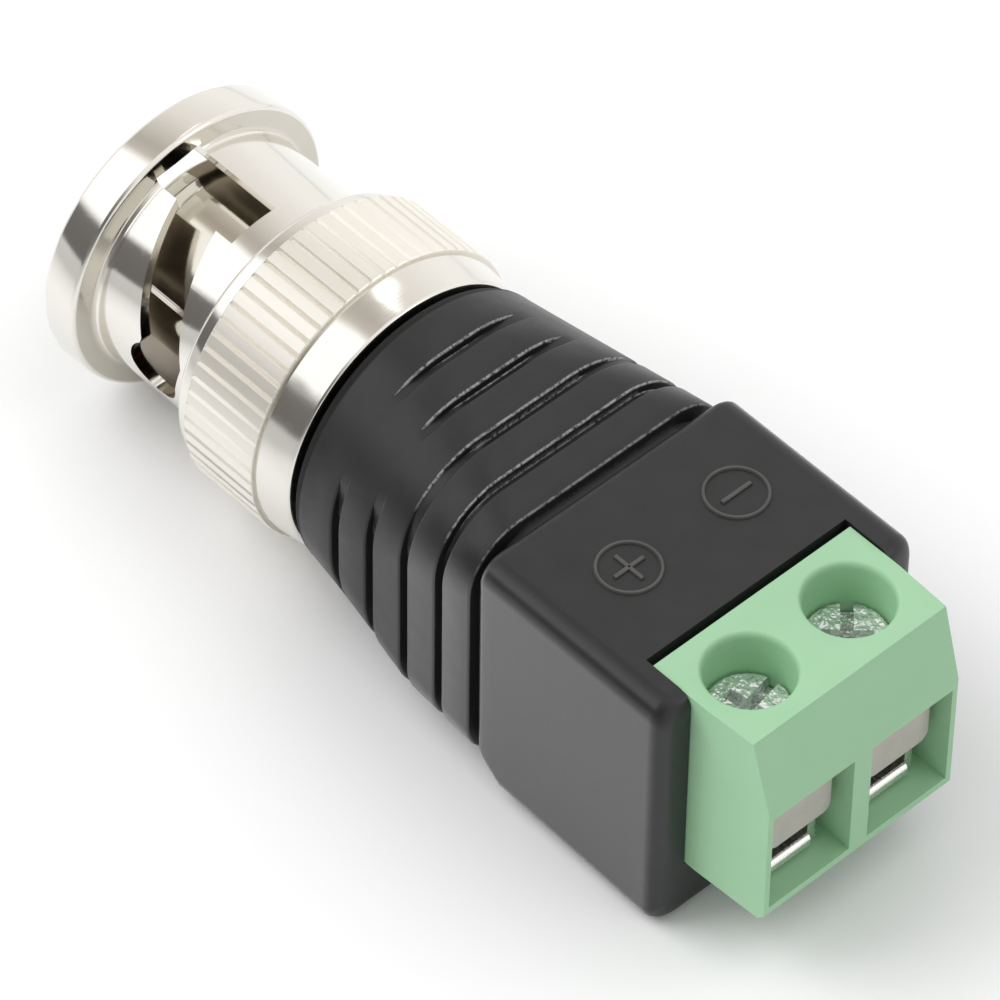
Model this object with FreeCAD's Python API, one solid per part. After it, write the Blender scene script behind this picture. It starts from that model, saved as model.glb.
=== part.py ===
# A bayonet plug with a two-way screw terminal block, joined by one moulded body.
# Millimetres. +X points out of the plug's mouth, +Y is the positive terminal's side, +Z is up.
# X is 0 at the coupling nut's front face; the plug's axis is the X axis.

import FreeCAD
import Part
import math
import os

from FreeCAD import Vector

os.makedirs("parts", exist_ok=True)

# Clearances
press_gap = 0.02
running_gap = 0.07
thread_gap = 0.05
sliding_gap = 0.05
free_gap = 0.25

# The jack that the plug mates with
jack_shell_r = 4.83
jack_lug_h = 0.67
jack_lug_d = 2.0
lug_end_gap = 0.1
lug_side_gap = 0.075
lug_entry_gap = 0.15
detent_gap = 0.155
jack_shell_wall = 0.78
contact_wall = 0.55
pin_r = 0.685

# Coupling nut, outside, from the mouth back
rim_drop = 0.2
rim_edge = 0.2
rim_length = 1.75
rim_undercut = 0.1
neck_wall = 0.5
neck_length = 3.95
flare_length = 0.7
flare_rise = 0.55
shoulder_length = 1.0
shoulder_drop = 0.04
shoulder_land = 0.9
knurl_length = 4.15
knurl_proud = 0.15
knurl_rise = 0.24
knurl_depth = 0.16
knurl_flat = 0.68
knurl_bevel = 0.34
knurl_count = 62
band_length = 1.75
band_rise = 0.04
band_taper = 0.2

# Coupling nut, the bayonet way: angles from +Y towards +Z
entry_angle = 80.5
entry_past_neck = 0.45
helix_start_depth = 3.75
detent_angle = 17.0
detent_depth = 5.5
way_undercut = 0.6

# Coupling nut, inside, from the back
ring_lip = 0.4
ring_t = 0.4
ring_slot = 1.6
ring_bite = 0.25
washer_t = 0.35
wave_height = 0.95
wave_t = 0.2
wave_count = 3
wave_inner_gap = 0.12
wave_outer_gap = 0.1
flange_t = 0.8
washer_band = 1.1
nut_wall = 0.86
cavity_room = 0.8

# Plug, from the flange forwards and back
contact_reach = 10.0
contact_edge = 0.15
contact_bead = 0.75
contact_waist_drop = 0.2
contact_waist_slope = 0.3
contact_seat = 1.9
contact_slit_w = 0.4
contact_slit_past = 1.2
contact_slit_angle = 20
socket_depth = 1.6
pin_recess = 0.7
pin_nose = 0.45
pin_collar_r = 0.9
pin_collar_depth = 0.05
pin_shoulder_depth = 2.0
pin_pot_wall = 0.58
pin_pot_reach = 1.6
pin_pot_depth = 1.2
insulator_recess = 5.1
insulator_nose = 0.8
insulator_inset = 0.6
gasket_t = 0.65
gasket_inner_gap = 0.05
gasket_outer_gap = 0.08
socket_wall = 0.45
anchor_rise = 0.7
anchor_depth = 0.8
anchor_t = 1.0
plug_tail = 1.4

# Moulded body
nut_rear_gap = 0.2
body_top_z = 5.75
body_bottom_z = -6.44
collar_drop = 0.1
collar_lip_length = 0.7
collar_lip_drop = 0.12
nose_length = 10.55
nose_inset = 0.05
nose_corner_r = 2.3
nose_low_corner_r = 2.2
shoulder_share = 0.335
shoulder_low_r = 4.75
waist_share = 0.5
waist_low_r = 2.95
block_length = 10.0
block_bottom_draft = 0.42
block_corner_run = 1.35
block_corner_r = 0.9
block_back_edge_r = 0.7
block_front_edge_r = 0.5
groove_pitch = 1.95
groove_w = 0.42
groove_count = 5
groove_side_depth = 0.5
groove_top_depth = 0.42
groove_corner_r = 2.8
cavity_side_gap = 0.3
cavity_roof = 1.65
cavity_floor = 3.24
cavity_corner_r = 2.6
cavity_lap = 0.4
notch_gap = 0.3
mark_h = 0.1
mark_w = 0.18
mark_r = 1.33
mark_bar = 1.5
mark_setback = 6.05
plus_y = 2.5
minus_y = -3.0

# Terminal block
pitch = 5.08
floor_wall = 2.54
roof_wall = 1.4
roof_setback = 2.1
head_length = 6.11
head_drop = 0.13
slope_run = 0.95
slope_drop = 3.23
taper_length = 3.46
taper_drop = 0.17
terminal_edge = 0.3
screw_setback = 2.53
well_edge_w = 0.2
well_edge_h = 0.35
end_wall = 0.43
bay_floor_wall = 0.65
bay_height = 5.1
bay_room = 1.8
bay_front_wall = 1.1
web_t = 0.5

# Clamp
strip_t = 0.5
strip_drop = 2.35
strip_half_w = 0.9
strip_plate_side_gap = 0.48
strip_plate_inset = 0.61
strip_plate_r = 0.45
strip_tail_length = 2.25
cage_side_gap = 0.63
cage_wall = 0.4
cage_back_gap = 0.1
cage_front_wall = 0.58
jaw_t = 0.5
jaw_floor_gap = 0.2
jaw_lip = 0.2
jaw_lip_r = 0.25
cage_plate_t = 0.55
screw_head_t = 1.2
screw_head_rise = 0.68
screw_head_edge = 0.2
screw_point = 0.2
shank_r = 1.0
driver_w = 0.5
driver_depth = 0.65
cross_length = 2.2
cross_depth = 0.9
positive_turn = 100
negative_turn = 136

# Leads
lead_r = 0.4
lead_end_gap = 0.1
lead_straight = 1.2
lead_bend_r = 2.0
lead_sleeve_wall = 0.4
sleeve_end_gap = 0.4
sleeve_lap_gap = 0.3
lap_start = 0.6
lap_length = 1.6
ground_straight = 2.0

# Worked out from the values above: radii, from the jack outwards
bore_r = jack_shell_r + running_gap
neck_r = bore_r + neck_wall
lug_way_r = jack_shell_r + jack_lug_h + lug_end_gap
lug_way_w = jack_lug_d + 2 * lug_side_gap
lug_entry_w = jack_lug_d + 2 * lug_entry_gap
detent_r = jack_lug_d / 2 + detent_gap
contact_r = jack_shell_r - jack_shell_wall
insulator_r = contact_r - contact_wall
body_neck_r = contact_r + socket_wall
anchor_r = body_neck_r + anchor_rise
cavity_r = body_neck_r + washer_band
flange_r = cavity_r - running_gap
ring_groove_r = cavity_r + ring_bite
knurl_root_r = cavity_r + nut_wall
knurl_r = knurl_root_r + knurl_rise
rim_r = knurl_r - rim_drop
band_r = knurl_root_r + band_rise
band_back_r = band_r - band_taper
shoulder_r = knurl_root_r - shoulder_drop
pin_pot_r = lead_r + press_gap + pin_pot_wall

# Widths, from the screws outwards
screw_head_r = shank_r + screw_head_rise
screw_hole_r = screw_head_r + running_gap
cage_half_w = shank_r + thread_gap + cage_wall
bay_half_w = cage_half_w + cage_side_gap
strip_plate_half_w = bay_half_w - strip_plate_side_gap
terminal_half_w = pitch / 2 + bay_half_w + end_wall
terminal_back_half_w = terminal_half_w - taper_drop
body_half_w = knurl_r - knurl_proud
collar_r = body_half_w - collar_drop
cavity_half_w = body_neck_r + cavity_side_gap

# Places along the plug, from the mouth back
rim_back_x = -rim_length
neck_end_x = rim_back_x - neck_length
shoulder_end_x = neck_end_x - flare_length - shoulder_length
knurl_front_x = shoulder_end_x - shoulder_land
knurl_back_x = knurl_front_x - knurl_length
nut_back_x = knurl_back_x - band_length
entry_end_x = neck_end_x - entry_past_neck
helix_start_x = -helix_start_depth
detent_x = -detent_depth
ring_back_x = nut_back_x + ring_lip + sliding_gap
ring_front_x = ring_back_x + ring_t
washer_back_x = ring_front_x + sliding_gap
washer_front_x = washer_back_x + washer_t
flange_back_x = washer_front_x + wave_height
flange_front_x = flange_back_x + flange_t
cavity_front_x = flange_front_x + cavity_room
contact_tip_x = flange_front_x + contact_reach
bead_back_x = contact_tip_x - contact_bead
waist_back_x = flange_front_x + contact_seat
contact_back_x = flange_front_x - socket_depth
pin_tip_x = contact_tip_x - pin_recess
insulator_face_x = contact_tip_x - insulator_recess
pin_shoulder_x = insulator_face_x - pin_shoulder_depth
body_front_x = nut_back_x - nut_rear_gap
anchor_front_x = body_front_x - anchor_depth
anchor_back_x = anchor_front_x - anchor_t
plug_back_x = anchor_back_x - plug_tail
insulator_back_x = plug_back_x + insulator_inset
pin_pot_x = plug_back_x - pin_pot_reach

# Places along the moulded body and the terminal block
block_front_x = body_front_x - nose_length
block_back_x = block_front_x - block_length
groove_xs = [block_front_x + groove_w / 2 + i * groove_pitch for i in range(groove_count)]
mark_x = block_back_x + mark_setback
cavity_top_z = body_top_z - cavity_roof
cavity_bottom_z = body_bottom_z + cavity_floor
notch_x = block_back_x + roof_setback
terminal_back_x = notch_x - head_length
taper_start_x = terminal_back_x + taper_length
terminal_top_z = body_top_z - head_drop
terminal_shelf_z = body_top_z - roof_wall - sliding_gap
terminal_bottom_z = body_bottom_z + floor_wall + sliding_gap
slope_top_x = terminal_back_x + slope_run
slope_bottom_z = terminal_top_z - slope_drop
screw_x = notch_x - screw_setback
cage_front_x = screw_x + shank_r + thread_gap + cage_front_wall
bay_front_x = cage_front_x + bay_room
terminal_front_x = bay_front_x + bay_front_wall
bay_floor_z = terminal_bottom_z + bay_floor_wall
bay_ceiling_z = bay_floor_z + bay_height
terminal_web_top = bay_ceiling_z + web_t

# The clamp
strip_top_z = bay_ceiling_z - strip_drop
strip_bottom_z = strip_top_z - strip_t
strip_plate_x = terminal_back_x + strip_plate_inset
strip_tail_x = terminal_front_x + strip_tail_length
cage_back_x = strip_plate_x + strip_t + cage_back_gap
jaw_top_z = bay_floor_z + jaw_floor_gap + jaw_t
cage_plate_z = strip_top_z + free_gap
screw_top_z = terminal_web_top + screw_head_t
lead_sleeve_r = lead_r + lead_sleeve_wall

X_AXIS = Vector(1, 0, 0)
Y_AXIS = Vector(0, 1, 0)
Z_AXIS = Vector(0, 0, 1)


def cylinder_x(radius, x_from, x_to, y=0.0, z=0.0):
    """A cylinder along X between two X values, given in either order."""
    low = min(x_from, x_to)
    return Part.makeCylinder(radius, abs(x_to - x_from), Vector(low, y, z), X_AXIS)


def cylinder_z(radius, z_from, z_to, x, y):
    """An upright cylinder between two heights."""
    return Part.makeCylinder(radius, z_to - z_from, Vector(x, y, z_from), Z_AXIS)


def block(x_pair, y_pair, z_pair):
    """A box between two corners, each pair given low first."""
    size = [pair[1] - pair[0] for pair in (x_pair, y_pair, z_pair)]
    return Part.makeBox(*size, Vector(x_pair[0], y_pair[0], z_pair[0]))


def turned(profile):
    """A solid turned about the X axis from (x, radius) points in order."""
    points = [Vector(x, radius, 0) for x, radius in profile]
    face = Part.Face(Part.makePolygon(points + points[:1]))
    return face.revolve(Vector(0, 0, 0), X_AXIS, 360)


def at_angle(shape, degrees):
    """A copy turned about the plug's axis, from +Y towards +Z."""
    copy = shape.copy()
    copy.rotate(Vector(0, 0, 0), X_AXIS, degrees)
    return copy


def rounded_section(x, half_w, top, bottom, top_radius, low_radius=None):
    """A closed wire across X: a rectangle with its four corners rounded, the lower two as given."""
    corners = [(half_w, top), (-half_w, top), (-half_w, bottom), (half_w, bottom)]
    edges = []
    last = None
    first = None
    for index, (y, z) in enumerate(corners):
        radius = low_radius if low_radius and z < 0 else top_radius
        centre = Vector(x, y - math.copysign(radius, y), z - math.copysign(radius, z))
        start = math.radians(90 * index)
        ends = [centre + Vector(0, math.cos(a), math.sin(a)) * radius
                for a in (start, start + math.pi / 4, start + math.pi / 2)]
        if last is None:
            first = ends[0]
        else:
            edges.append(Part.makeLine(last, ends[0]))
        edges.append(Part.Arc(*ends).toShape())
        last = ends[2]
    edges.append(Part.makeLine(last, first))
    return Part.Wire(edges)


def section_prism(x_from, x_to, half_w, top, bottom, radius):
    """The rounded section, drawn out along X."""
    face = Part.Face(rounded_section(x_from, half_w, top, bottom, radius))
    return face.extrude(Vector(x_to - x_from, 0, 0))


# Coupling nut

def knurl_ring():
    """The toothed band, with its tooth ends bevelled to run out on the smooth metal."""
    points = []
    middle = (1 + knurl_flat) / 2
    for tooth in range(knurl_count):
        for share, radius in ((0.0, knurl_r), (knurl_flat, knurl_r), (middle, knurl_r - knurl_depth)):
            angle = 2 * math.pi * (tooth + share) / knurl_count
            points.append(Vector(knurl_back_x, radius * math.cos(angle), radius * math.sin(angle)))
    face = Part.Face(Part.makePolygon(points + points[:1]))
    teeth = face.extrude(Vector(knurl_front_x - knurl_back_x, 0, 0))
    envelope = turned([(knurl_back_x, 0), (knurl_back_x, knurl_r - knurl_bevel),
                       (knurl_back_x + knurl_bevel, knurl_r),
                       (knurl_front_x - knurl_bevel, knurl_r),
                       (knurl_front_x, knurl_r - knurl_bevel), (knurl_front_x, 0)])
    return teeth.common(envelope)


def bayonet_way():
    """One lug's way: straight in under the rim, then back along a helix to a round detent."""
    inner_r = bore_r - way_undercut
    depth = lug_way_r - inner_r
    entry = block((entry_end_x, rim_length), (inner_r, lug_way_r), (-lug_entry_w / 2, lug_entry_w / 2))
    sweep = entry_angle - detent_angle
    rise = helix_start_x - detent_x
    spine = Part.Wire(Part.makeHelix(rise * 360 / sweep, rise, bore_r).Edges)
    half = lug_way_w / 2
    corners = [Vector(inner_r, 0, -half), Vector(inner_r + depth, 0, -half),
               Vector(inner_r + depth, 0, half), Vector(inner_r, 0, half)]
    helix = spine.makePipeShell([Part.makePolygon(corners + corners[:1])], True, True)
    helix.rotate(Vector(0, 0, 0), Y_AXIS, 90)
    helix.rotate(Vector(0, 0, 0), X_AXIS, 90)
    helix.translate(Vector(detent_x, 0, 0))
    detent = Part.makeCylinder(detent_r, depth, Vector(detent_x, inner_r, 0), Y_AXIS)
    turn = Part.makeCylinder(half, depth, Vector(helix_start_x, inner_r, 0), Y_AXIS)
    return [at_angle(entry, entry_angle), at_angle(helix, detent_angle),
            at_angle(detent, detent_angle), at_angle(turn, entry_angle)]


def coupling_nut():
    nut = turned([
        (0, 0), (0, rim_r - rim_edge), (-rim_edge, rim_r), (rim_back_x + rim_edge, rim_r),
        (rim_back_x, rim_r - rim_edge), (rim_back_x - rim_undercut, neck_r), (neck_end_x, neck_r),
        (neck_end_x - flare_length, neck_r + flare_rise), (shoulder_end_x, shoulder_r),
        (knurl_front_x, knurl_root_r), (knurl_back_x, knurl_root_r), (knurl_back_x, band_r),
        (nut_back_x + rim_edge, band_back_r), (nut_back_x, band_back_r - rim_edge), (nut_back_x, 0)])
    hollow = turned([
        (0, 0), (0, bore_r + rim_edge), (-rim_edge, bore_r), (cavity_front_x, bore_r),
        (cavity_front_x, cavity_r),
        (ring_front_x + sliding_gap, cavity_r), (ring_front_x + sliding_gap, ring_groove_r),
        (ring_back_x - sliding_gap, ring_groove_r), (ring_back_x - sliding_gap, cavity_r),
        (nut_back_x, cavity_r), (nut_back_x, 0)])
    shell = nut.fuse(knurl_ring()).cut(hollow)
    ways = bayonet_way()
    for half_turn in (0, 180):
        for cutter in ways:
            shell = shell.cut(at_angle(cutter, half_turn))
    return shell.removeSplitter()


def nut_ring():
    """An open spring ring, held in the nut's groove."""
    outer = ring_groove_r - press_gap
    inner = body_neck_r + free_gap
    ring = cylinder_x(outer, ring_back_x, ring_front_x).cut(cylinder_x(inner, ring_back_x, ring_front_x))
    gap = block((ring_back_x, ring_front_x), (-ring_slot / 2, ring_slot / 2), (-outer, 0))
    return ring.cut(gap)


def thrust_washer():
    disc = cylinder_x(flange_r, washer_back_x, washer_front_x)
    return disc.cut(cylinder_x(body_neck_r + running_gap, washer_back_x, washer_front_x))


def wave_washer():
    """A thin ring with three waves between the flange and the flat washer."""
    swing = (wave_height - wave_t) / 2 - press_gap
    middle = (flange_back_x + washer_front_x - wave_t) / 2
    edges = []
    for radius in (body_neck_r + wave_inner_gap, flange_r - wave_outer_gap):
        points = []
        for step in range(36):
            angle = 2 * math.pi * step / 36
            x = middle + swing * math.cos(wave_count * angle)
            points.append(Vector(x, radius * math.cos(angle), radius * math.sin(angle)))
        curve = Part.BSplineCurve()
        curve.interpolate(points, PeriodicFlag=True)
        edges.append(curve.toShape())
    return Part.makeRuledSurface(edges[0], edges[1]).extrude(Vector(wave_t, 0, 0))


# Plug

def plug_body_solid():
    """The turned body without its bore, which the moulding is also formed around."""
    return turned([(flange_front_x, 0), (flange_front_x, flange_r), (flange_back_x, flange_r),
                   (flange_back_x, body_neck_r), (anchor_front_x, body_neck_r), (anchor_front_x, anchor_r),
                   (anchor_back_x, anchor_r), (anchor_back_x, body_neck_r), (plug_back_x, body_neck_r),
                   (plug_back_x, 0)])


def plug_body():
    body = plug_body_solid()
    body = body.cut(cylinder_x(insulator_r + press_gap, plug_back_x, flange_front_x))
    return body.cut(cylinder_x(contact_r + press_gap, contact_back_x - press_gap, flange_front_x))


def outer_contact():
    """The sprung tube that enters the jack: a bead at its tip, a waist, and slits between four fingers."""
    waist_r = contact_r - contact_waist_drop
    tube = turned([(contact_back_x, insulator_r + press_gap), (contact_back_x, contact_r),
                   (waist_back_x, contact_r), (waist_back_x + contact_waist_slope, waist_r),
                   (bead_back_x - contact_waist_slope, waist_r), (bead_back_x, contact_r),
                   (contact_tip_x - contact_edge, contact_r), (contact_tip_x, contact_r - contact_edge),
                   (contact_tip_x, insulator_r + press_gap)])
    slit = block((insulator_face_x - contact_slit_past, contact_tip_x), (-contact_r, contact_r),
                 (-contact_slit_w / 2, contact_slit_w / 2))
    for quarter_turn in (0, 90):
        tube = tube.cut(at_angle(slit, contact_slit_angle + quarter_turn))
    return tube


def gasket():
    front = flange_front_x + gasket_t
    outer = cylinder_x(bore_r - gasket_outer_gap, flange_front_x, front)
    return outer.cut(cylinder_x(contact_r + gasket_inner_gap, flange_front_x, front))


def insulator():
    body = turned([(insulator_back_x, 0), (insulator_back_x, insulator_r),
                   (insulator_face_x - insulator_nose, insulator_r),
                   (insulator_face_x, insulator_r - insulator_nose), (insulator_face_x, 0)])
    body = body.cut(cylinder_x(pin_collar_r + press_gap, pin_shoulder_x, insulator_face_x))
    return body.cut(cylinder_x(pin_pot_r + press_gap, insulator_back_x, pin_shoulder_x))


def centre_pin():
    """The pin, with a rounded tip and an open pot at the back for its lead."""
    shoulder_x = pin_shoulder_x - press_gap
    collar_x = insulator_face_x - pin_collar_depth
    pin = turned([(pin_pot_x, 0), (pin_pot_x, pin_pot_r), (shoulder_x, pin_pot_r),
                  (shoulder_x, pin_collar_r), (collar_x, pin_collar_r), (collar_x, pin_r),
                  (pin_tip_x - pin_nose, pin_r), (pin_tip_x - pin_nose / 3, pin_r * 0.75),
                  (pin_tip_x, pin_r * 0.3), (pin_tip_x, 0)])
    return pin.cut(cylinder_x(lead_r + press_gap, pin_pot_x, pin_pot_x + pin_pot_depth))


# Moulded body

def ribbed_nose():
    """The round collar that turns square, first at its lower corners, with its straight-floored grooves."""
    front = body_front_x - collar_lip_length
    length = front - block_front_x
    flat = press_gap / 2
    circle = rounded_section(front, collar_r + flat, collar_r + flat, -collar_r - flat, collar_r - flat)
    square = rounded_section(block_front_x, body_half_w - nose_inset, body_top_z, body_bottom_z,
                             nose_corner_r, nose_low_corner_r)
    between = [rounded_section(front - share * length,
                               collar_r + share * (body_half_w - nose_inset - collar_r),
                               collar_r + share * (body_top_z - collar_r),
                               -collar_r + share * (body_bottom_z + collar_r),
                               collar_r + share * (nose_corner_r - collar_r), low_r)
               for share, low_r in ((shoulder_share, shoulder_low_r), (waist_share, waist_low_r))]
    nose = Part.makeLoft([circle] + between + [square], True, True)
    lip = Part.makeCone(collar_r, collar_r - collar_lip_drop, collar_lip_length, Vector(front, 0, 0), X_AXIS)
    nose = nose.fuse(lip)
    for x in groove_xs:
        share = (front - x) / length
        half_w = collar_r + share * (body_half_w - collar_r) - groove_side_depth
        top = collar_r + share * (body_top_z - collar_r) - groove_top_depth
        bottom = collar_r + share * (-body_bottom_z - collar_r) - groove_top_depth
        back = x - groove_w / 2
        big = 2 * body_half_w
        ring = block((back, back + groove_w), (-big, big), (-big, big))
        core = section_prism(back - groove_w, back + 2 * groove_w, half_w, top, -bottom, groove_corner_r)
        nose = nose.cut(ring.cut(core))
    return nose


def polarity_marks():
    """Two raised rings with a plus and a minus."""
    marks = []
    for y, upright in ((plus_y, True), (minus_y, False)):
        ring = cylinder_z(mark_r, body_top_z - mark_h, body_top_z + mark_h, mark_x, y)
        ring = ring.cut(cylinder_z(mark_r - mark_w, body_top_z - mark_h, body_top_z + mark_h, mark_x, y))
        bar_x, bar_y = mark_w / 2, mark_bar / 2
        z_pair = (body_top_z - mark_h, body_top_z + mark_h)
        bar = block((mark_x - bar_x, mark_x + bar_x), (y - bar_y, y + bar_y), z_pair)
        if upright:
            bar = bar.fuse(block((mark_x - bar_y, mark_x + bar_y), (y - bar_x, y + bar_x), z_pair))
        marks += [ring, bar]
    return marks


def square_block():
    """The block that holds the terminals, with its underside drafted and its lower front corners full."""
    run_share = block_corner_run / block_length
    stations = [(0, nose_low_corner_r), (run_share, block_corner_r), (1, block_corner_r)]
    return Part.makeLoft([rounded_section(block_front_x - share * block_length, body_half_w, body_top_z,
                                          body_bottom_z - share * block_bottom_draft, block_corner_r, low_r)
                          for share, low_r in stations], True, True)


def moulded_body():
    body = square_block()
    for x, radius in ((block_back_x, block_back_edge_r), (block_front_x, block_front_edge_r)):
        rim = [edge for edge in body.Edges
               if abs(edge.BoundBox.XMax - x) < 0.01 and edge.BoundBox.XLength < 0.01]
        body = body.makeFillet(radius, rim)
    body = body.fuse(ribbed_nose())
    for mark in polarity_marks():
        body = body.fuse(mark)
    cavity = section_prism(terminal_front_x, plug_back_x + cavity_lap, cavity_half_w, cavity_top_z,
                           cavity_bottom_z, cavity_corner_r)
    side = terminal_half_w + sliding_gap
    low = terminal_bottom_z - sliding_gap
    under_roof = block((terminal_back_x, terminal_front_x + sliding_gap), (-side, side),
                       (low, terminal_shelf_z + sliding_gap))
    open_top = block((terminal_back_x, notch_x + notch_gap), (-side, side), (low, 2 * body_top_z))
    body = body.cut(cavity).cut(under_roof).cut(open_top)
    body = body.cut(plug_body_solid())
    return body.removeSplitter()


# Terminal block

def terminal_housing():
    """The green housing: a stepped and sloped block with two bays and two screw holes."""
    outline = [(terminal_front_x, terminal_bottom_z), (terminal_front_x, terminal_shelf_z),
               (notch_x, terminal_shelf_z), (notch_x, terminal_top_z), (slope_top_x, terminal_top_z),
               (terminal_back_x, slope_bottom_z), (terminal_back_x, terminal_bottom_z + terminal_edge),
               (terminal_back_x + terminal_edge, terminal_bottom_z)]
    points = [Vector(x, -terminal_half_w, z) for x, z in outline]
    body = Part.Face(Part.makePolygon(points + points[:1])).extrude(Vector(0, 2 * terminal_half_w, 0))
    plan = [(terminal_front_x, terminal_half_w), (taper_start_x, terminal_half_w),
            (terminal_back_x, terminal_back_half_w)]
    plan += [(x, -y) for x, y in reversed(plan)]
    points = [Vector(x, y, terminal_bottom_z) for x, y in plan]
    height = terminal_top_z - terminal_bottom_z
    body = body.common(Part.Face(Part.makePolygon(points + points[:1])).extrude(Vector(0, 0, height)))
    for y in (pitch / 2, -pitch / 2):
        bay = block((terminal_back_x, bay_front_x), (y - bay_half_w, y + bay_half_w),
                    (bay_floor_z, bay_ceiling_z))
        slot_half = strip_half_w + press_gap
        slot = block((bay_front_x, terminal_front_x), (y - slot_half, y + slot_half),
                     (strip_bottom_z - press_gap, strip_top_z + press_gap))
        body = body.cut(bay).cut(slot)
        body = body.cut(cylinder_z(screw_hole_r, terminal_web_top, terminal_top_z, screw_x, y))
        body = body.cut(Part.makeCone(screw_hole_r, screw_hole_r + well_edge_w, well_edge_h,
                                      Vector(screw_x, y, terminal_top_z - well_edge_h)))
        body = body.cut(cylinder_z(shank_r + running_gap, bay_ceiling_z, terminal_web_top, screw_x, y))
    return body


def contact_strip(y):
    """A flat conductor through the cage, bent up at the wire entry to guide the wire below it."""
    tongue = block((strip_plate_x, strip_tail_x), (y - strip_half_w, y + strip_half_w),
                   (strip_bottom_z, strip_top_z))
    top = bay_ceiling_z - press_gap
    plate = block((strip_plate_x, strip_plate_x + strip_t), (y - strip_plate_half_w, y + strip_plate_half_w),
                  (strip_bottom_z, top))
    corners = [edge for edge in plate.Edges
               if edge.Length < strip_t + 0.01 and edge.BoundBox.ZMax < strip_bottom_z + 0.01
               and edge.BoundBox.XLength > strip_t / 2]
    plate = plate.makeFillet(strip_plate_r, corners)
    return tongue.fuse(plate).removeSplitter()


def clamp_cage(y):
    """A square loop of sheet: the lipped jaw below the wire, and the threaded plate above the strip."""
    x_pair = (cage_back_x, cage_front_x)
    top = cage_plate_z + cage_plate_t
    outer = block(x_pair, (y - cage_half_w, y + cage_half_w), (jaw_top_z - jaw_t, top))
    inner_w = cage_half_w - cage_wall
    cage = outer.cut(block(x_pair, (y - inner_w, y + inner_w), (jaw_top_z, cage_plate_z)))
    lip_x = cage_back_x - jaw_lip
    lip = block((lip_x, cage_front_x), (y - inner_w, y + inner_w), (jaw_top_z - jaw_t, jaw_top_z))
    lead_in = [edge for edge in lip.Edges
               if edge.BoundBox.ZMin > jaw_top_z - 0.01 and edge.BoundBox.XMax < lip_x + 0.01]
    cage = cage.fuse(lip.makeFillet(min(jaw_lip_r, 0.8 * jaw_t), lead_in))
    return cage.cut(cylinder_z(shank_r + thread_gap, cage_plate_z, top, screw_x, y))


def clamp_screw(y, turn):
    """A cheese-head screw with a combined slot and cross; turn is where its slot points."""
    head = cylinder_z(screw_head_r, terminal_web_top, screw_top_z, screw_x, y)
    rim = [edge for edge in head.Edges
           if edge.BoundBox.ZMin > screw_top_z - 0.01 and len(edge.Vertexes) == 1]
    head = head.makeFillet(screw_head_edge, rim)
    tip_z = strip_top_z + sliding_gap
    screw = head.fuse(cylinder_z(shank_r, tip_z, terminal_web_top, screw_x, y))
    tip = [edge for edge in screw.Edges if abs(edge.BoundBox.ZMax - tip_z) < 0.01]
    screw = screw.makeChamfer(screw_point, tip)
    slot = block((-screw_head_r, screw_head_r), (-driver_w / 2, driver_w / 2), (-driver_depth, 0))
    cross = block((-driver_w / 2, driver_w / 2), (-cross_length / 2, cross_length / 2), (-cross_depth, 0))
    along = block((-cross_length / 2, cross_length / 2), (-driver_w / 2, driver_w / 2), (-cross_depth, 0))
    for cutter in (slot, cross, along):
        cutter.rotate(Vector(0, 0, 0), Z_AXIS, turn)
        cutter.translate(Vector(screw_x, y, screw_top_z))
        screw = screw.cut(cutter)
    return screw


# Leads

def bent_path(points):
    """A wire of straight runs with a round bend at each point between them."""
    points = [Vector(*p) for p in points]
    edges = []
    last = points[0]
    for index in range(1, len(points) - 1):
        corner = points[index]
        before = (corner - points[index - 1]).normalize()
        after = (points[index + 1] - corner).normalize()
        half_turn = before.getAngle(after) / 2
        reach = lead_bend_r * math.tan(half_turn)
        side = (after - before).normalize()
        middle = corner + side * (lead_bend_r / math.cos(half_turn) - lead_bend_r)
        start = corner - before * reach
        end = corner + after * reach
        edges.append(Part.makeLine(last, start))
        edges.append(Part.Arc(start, middle, end).toShape())
        last = end
    edges.append(Part.makeLine(last, points[-1]))
    return Part.Wire(edges)


def lead(points, radius):
    """A round wire along the points, which starts along X."""
    ring = Part.Wire(Part.makeCircle(radius, Vector(*points[0]), X_AXIS))
    return bent_path(points).makePipeShell([ring], True, False)


def strip_lap(y):
    """Where a lead lies on its strip's tail: two points on the tail's top face."""
    z = strip_top_z + lead_r + press_gap
    return [(strip_tail_x + lap_start, y, z), (strip_tail_x - lap_length, y, z)]


def centre_path():
    end_x = pin_pot_x + pin_pot_depth - lead_end_gap
    return [(end_x, 0, 0), (pin_pot_x - lead_straight, 0, 0)] + strip_lap(pitch / 2)


def centre_lead():
    return lead(centre_path(), lead_r)


def lead_sleeve():
    """Insulation over the centre lead between the pin's pot and the strip."""
    back = strip_tail_x + lap_start + sleeve_lap_gap
    between = block((back, pin_pot_x - sleeve_end_gap), (-cavity_half_w, cavity_half_w),
                    (cavity_bottom_z, cavity_top_z))
    tube = lead(centre_path(), lead_sleeve_r).cut(lead(centre_path(), lead_r + press_gap))
    return tube.common(between)


def ground_lead():
    y = -(insulator_r + body_neck_r) / 2
    start = plug_back_x - press_gap
    return lead([(start, y, 0), (start - ground_straight, y, 0)] + strip_lap(-pitch / 2), lead_r)


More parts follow.
